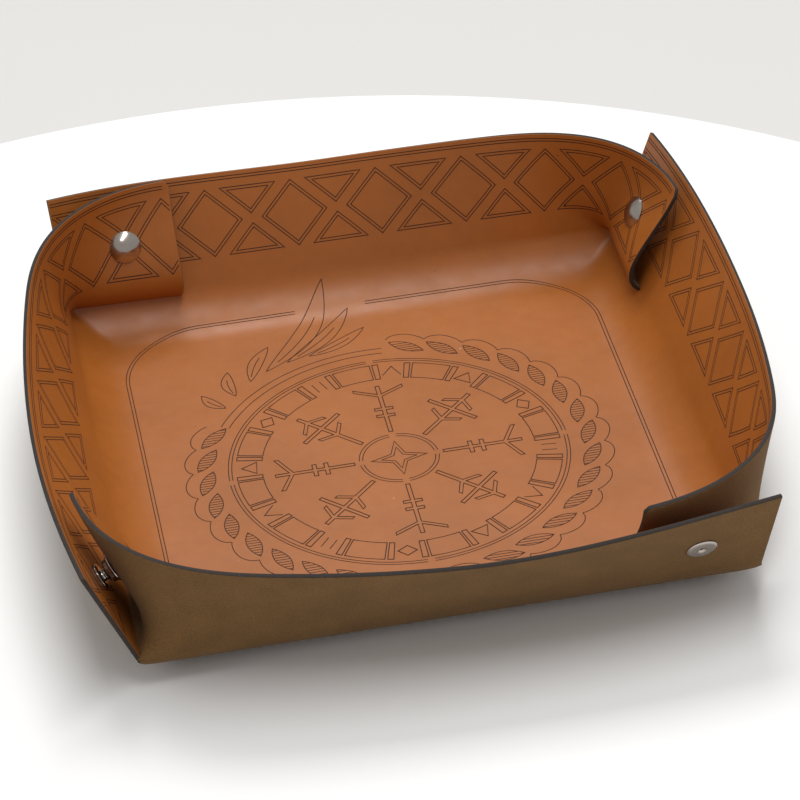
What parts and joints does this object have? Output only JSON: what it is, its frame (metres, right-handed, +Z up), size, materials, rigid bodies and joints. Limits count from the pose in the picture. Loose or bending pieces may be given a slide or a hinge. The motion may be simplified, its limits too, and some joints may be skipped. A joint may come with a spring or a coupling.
{
  "type": "dice tray",
  "caption": "Square folding tray of laser-engraved leather with sloped walls, held up at its corners by press studs; unsnaps to a flat sheet.",
  "frame": {"origin": "middle of the floor, on the surface that the tray stands on", "axes": "+X right, +Y towards the back wall, +Z up, as the tray is looked into from the front"},
  "size_m": [0.2724, 0.2724, 0.0566],
  "materials": {
    "leather": "smooth tan grain side, olive-brown suede side, burnt laser-cut edges",
    "nickel": "polished nickel plate"
  },
  "bodies": {
    "floor": {"floor_panel": "leather", "fold_front": "leather", "fold_left": "leather", "fold_back": "leather", "fold_right": "leather"},
    "wall_front": {"wall_front": "leather", "corner_front": "leather", "stud_front_right": "nickel", "post_front_right": "nickel"},
    "curl_front": {"curl_front": "leather"},
    "flap_front": {"flap_front": "leather", "cap_front_left": "nickel", "socket_front_left": "nickel"},
    "wall_left": {"wall_left": "leather", "corner_left": "leather", "stud_front_left": "nickel", "post_front_left": "nickel"},
    "curl_left": {"curl_left": "leather"},
    "flap_left": {"flap_left": "leather", "cap_back_left": "nickel", "socket_back_left": "nickel"},
    "wall_back": {"wall_back": "leather", "corner_back": "leather", "stud_back_left": "nickel", "post_back_left": "nickel"},
    "curl_back": {"curl_back": "leather"},
    "flap_back": {"flap_back": "leather", "cap_back_right": "nickel", "socket_back_right": "nickel"},
    "wall_right": {"wall_right": "leather", "corner_right": "leather", "stud_back_right": "nickel", "post_back_right": "nickel"},
    "curl_right": {"curl_right": "leather"},
    "flap_right": {"flap_right": "leather", "cap_front_right": "nickel", "socket_front_right": "nickel"}
  },
  "joints": [
    {"name": "unfold_front", "type": "hinge", "parent": "floor", "child": "wall_front", "pos_m": [0, -0.10248, 0.00293], "axis": [1, 0, 0], "range_deg": [0, 55]},
    {"name": "uncurl_front", "type": "hinge", "parent": "wall_front", "child": "curl_front", "pos_m": [-0.1113, -0.1113, 0.01199], "axis": [0.552, -0.08, 0.83], "range_deg": [0, 31], "deforming": ["curl_front"]},
    {"name": "open_flap_front", "type": "hinge", "parent": "curl_front", "child": "flap_front", "pos_m": [-0.1113, -0.1113, 0.01199], "axis": [-0.1439, 0.3579, 0.9226], "range_deg": [0, 55]},
    {"name": "unfold_left", "type": "hinge", "parent": "floor", "child": "wall_left", "pos_m": [-0.10248, 0, 0.00293], "axis": [0, -1, 0], "range_deg": [0, 55]},
    {"name": "uncurl_left", "type": "hinge", "parent": "wall_left", "child": "curl_left", "pos_m": [-0.1113, 0.1113, 0.01199], "axis": [-0.08, -0.552, 0.83], "range_deg": [0, 31], "deforming": ["curl_left"]},
    {"name": "open_flap_left", "type": "hinge", "parent": "curl_left", "child": "flap_left", "pos_m": [-0.1113, 0.1113, 0.01199], "axis": [0.3579, 0.1439, 0.9226], "range_deg": [0, 55]},
    {"name": "unfold_back", "type": "hinge", "parent": "floor", "child": "wall_back", "pos_m": [0, 0.10248, 0.00293], "axis": [-1, 0, 0], "range_deg": [0, 55]},
    {"name": "uncurl_back", "type": "hinge", "parent": "wall_back", "child": "curl_back", "pos_m": [0.1113, 0.1113, 0.01199], "axis": [-0.552, 0.08, 0.83], "range_deg": [0, 31], "deforming": ["curl_back"]},
    {"name": "open_flap_back", "type": "hinge", "parent": "curl_back", "child": "flap_back", "pos_m": [0.1113, 0.1113, 0.01199], "axis": [0.1439, -0.3579, 0.9226], "range_deg": [0, 55]},
    {"name": "unfold_right", "type": "hinge", "parent": "floor", "child": "wall_right", "pos_m": [0.10248, 0, 0.00293], "axis": [0, 1, 0], "range_deg": [0, 55]},
    {"name": "uncurl_right", "type": "hinge", "parent": "wall_right", "child": "curl_right", "pos_m": [0.1113, -0.1113, 0.01199], "axis": [0.08, 0.552, 0.83], "range_deg": [0, 31], "deforming": ["curl_right"]},
    {"name": "open_flap_right", "type": "hinge", "parent": "curl_right", "child": "flap_right", "pos_m": [0.1113, -0.1113, 0.01199], "axis": [-0.3579, -0.1439, 0.9226], "range_deg": [0, 55]}
  ],
  "couplings": [
    {"joint": "uncurl_front", "follows": "unfold_front", "ratio": 0.56364},
    {"joint": "open_flap_front", "follows": "unfold_front", "ratio": 1},
    {"joint": "unfold_left", "follows": "unfold_front", "ratio": 1},
    {"joint": "uncurl_left", "follows": "unfold_front", "ratio": 0.56364},
    {"joint": "open_flap_left", "follows": "unfold_front", "ratio": 1},
    {"joint": "unfold_back", "follows": "unfold_front", "ratio": 1},
    {"joint": "uncurl_back", "follows": "unfold_front", "ratio": 0.56364},
    {"joint": "open_flap_back", "follows": "unfold_front", "ratio": 1},
    {"joint": "unfold_right", "follows": "unfold_front", "ratio": 1},
    {"joint": "uncurl_right", "follows": "unfold_front", "ratio": 0.56364},
    {"joint": "open_flap_right", "follows": "unfold_front", "ratio": 1}
  ]
}
